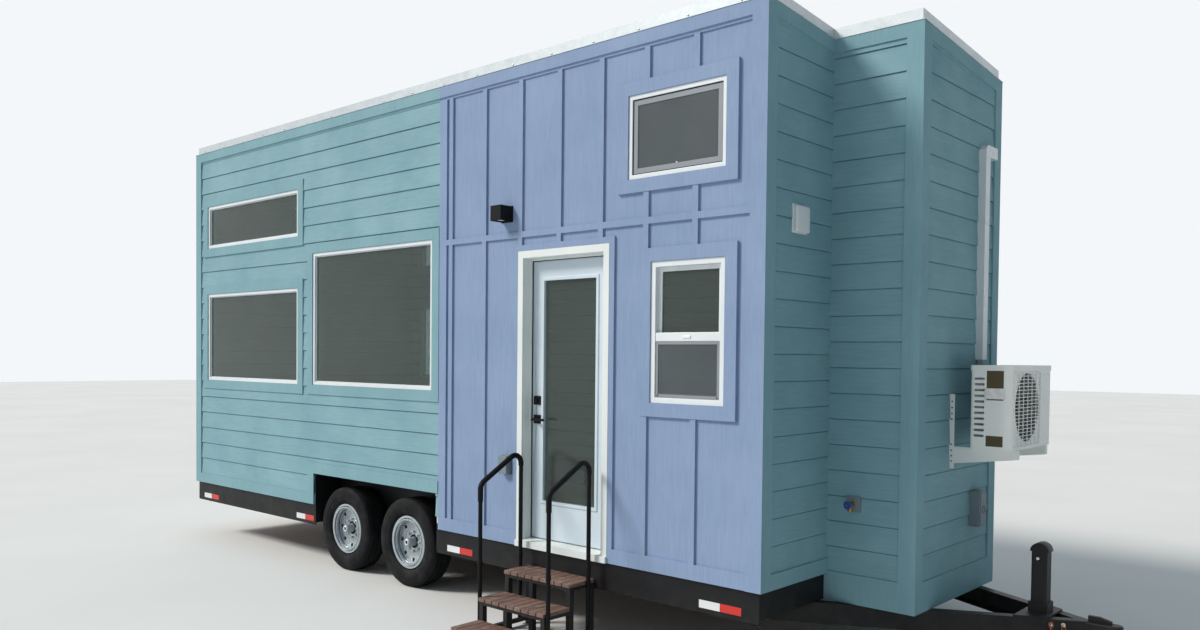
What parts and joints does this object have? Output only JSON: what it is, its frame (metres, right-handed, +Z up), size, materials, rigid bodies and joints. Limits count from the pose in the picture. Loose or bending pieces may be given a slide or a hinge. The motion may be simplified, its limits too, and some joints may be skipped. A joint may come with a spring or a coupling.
{
  "type": "tiny house on wheels",
  "caption": "Low-slope tiny house on a tandem-axle trailer, with lap siding, a battened entry bay, a front bump-out over the tongue and loose entry steps with handrails.",
  "frame": {"origin": "middle of the whole footprint, on the ground under the tyres and the jack foot", "axes": "+X towards the tongue, +Z up, so the entry door is in the -Y wall"},
  "size_m": [8.778, 3.61, 4.1392],
  "materials": {
    "teal_siding": "painted lap siding",
    "purple_panel": "painted panel and battens",
    "floor_boards": "satin boards",
    "roof_sheet": "low-slope roof sheet",
    "galvanised_flashing": "folded edge flashing",
    "white_vinyl": "white vinyl and paint",
    "window_glass": "clear glass",
    "black_hardware": "satin black",
    "black_frame_paint": "black chassis paint",
    "tyre_rubber": "road tyre",
    "silver_wheel": "silver paint",
    "zinc_plate": "zinc plated",
    "tread_boards": "stained boards",
    "unit_enamel": "off-white enamel",
    "grey_plastic": "grey plastic",
    "brass": "cast brass",
    "blue_handle": "blue enamel"
  },
  "bodies": {
    "house": {"ac_brackets": "unit_enamel", "ac_case": "unit_enamel", "ac_grille": "grey_plastic", "axles": "black_frame_paint", "battens": "purple_panel", "bumpout_end_wall": "teal_siding", "bumpout_floor": "teal_siding", "bumpout_side_walls": "teal_siding", "chassis_rails": "black_frame_paint", "coupler": "black_frame_paint", "crossmembers": "black_frame_paint", "door_frame": "white_vinyl", "electrical_boxes": "grey_plastic", "equalisers": "black_frame_paint", "floor": "floor_boards", "hose_bib": "brass", "jack_tube": "black_frame_paint", "leaf_springs": "black_frame_paint", "line_cover": "white_vinyl", "porch_light": "black_hardware", "roof": "roof_sheet", "roof_flashing": "galvanised_flashing", "safety_chains": "zinc_plate", "skirt_ends": "black_frame_paint", "skirt_sides": "black_frame_paint", "spring_hangers": "black_frame_paint", "step_frame": "black_frame_paint", "step_rails": "black_frame_paint", "step_treads": "tread_boards", "tongue_beam_left": "black_frame_paint", "tongue_beam_right": "black_frame_paint", "trim_boards": "teal_siding", "vent_hood": "white_vinyl", "wall_door_front": "purple_panel", "wall_door_head": "purple_panel", "wall_door_rear": "teal_siding", "wall_far": "teal_siding", "wall_front": "teal_siding", "wall_rear": "teal_siding", "wheel_wells": "black_frame_paint", "window_casings": "purple_panel", "window_frames": "white_vinyl", "window_panes": "window_glass"},
    "door": {"door_slab": "white_vinyl", "door_glass": "window_glass", "door_hardware": "black_hardware"},
    "door_handle": {"door_lever": "black_hardware"},
    "jack_inner_leg": {"jack_leg": "zinc_plate"},
    "jack_handle": {"jack_crank": "zinc_plate"},
    "cooling_fan": {"ac_fan": "grey_plastic"},
    "bib_wheel": {"bib_handle": "blue_handle"},
    "front_right_wheel": {"tyre_front_right": "tyre_rubber", "wheel_front_right": "silver_wheel"},
    "rear_right_wheel": {"tyre_rear_right": "tyre_rubber", "wheel_rear_right": "silver_wheel"},
    "front_left_wheel": {"tyre_front_left": "tyre_rubber", "wheel_front_left": "silver_wheel"},
    "rear_left_wheel": {"tyre_rear_left": "tyre_rubber", "wheel_rear_left": "silver_wheel"}
  },
  "joints": [
    {"name": "door_hinge", "type": "hinge", "parent": "house", "child": "door", "pos_m": [1.5085, -0.95, 1.627], "axis": [0, 0, -1], "range_deg": [0, 95]},
    {"name": "lever_turn", "type": "hinge", "parent": "door", "child": "door_handle", "pos_m": [0.805, -0.98, 1.481], "axis": [0, 1, 0], "range_deg": [0, 45], "stiffness_Nm_per_rad": 0.9, "springref_deg": -25},
    {"name": "front_right_wheel_spin", "type": "hinge", "parent": "house", "child": "front_right_wheel", "pos_m": [-0.7035, -0.948, 0.372], "axis": [0, 1, 0], "continuous": true},
    {"name": "rear_right_wheel_spin", "type": "hinge", "parent": "house", "child": "rear_right_wheel", "pos_m": [-1.6085, -0.948, 0.372], "axis": [0, 1, 0], "continuous": true},
    {"name": "front_left_wheel_spin", "type": "hinge", "parent": "house", "child": "front_left_wheel", "pos_m": [-0.7035, 1.652, 0.372], "axis": [0, 1, 0], "continuous": true},
    {"name": "rear_left_wheel_spin", "type": "hinge", "parent": "house", "child": "rear_left_wheel", "pos_m": [-1.6085, 1.652, 0.372], "axis": [0, 1, 0], "continuous": true},
    {"name": "jack_slide", "type": "slide", "parent": "house", "child": "jack_inner_leg", "axis": [0, 0, 1], "range_m": [-0.15, 0.18]},
    {"name": "jack_crank_turn", "type": "hinge", "parent": "house", "child": "jack_handle", "pos_m": [3.919, 0.352, 0.722], "axis": [0, 1, 0], "continuous": true},
    {"name": "fan_spin", "type": "hinge", "parent": "house", "child": "cooling_fan", "pos_m": [3.7158, 0.422, 1.65], "axis": [1, 0, 0], "continuous": true},
    {"name": "bib_wheel_turn", "type": "hinge", "parent": "house", "child": "bib_wheel", "pos_m": [2.969, -0.376, 1.02], "axis": [0, 1, 0], "range_deg": [0, 540]}
  ]
}
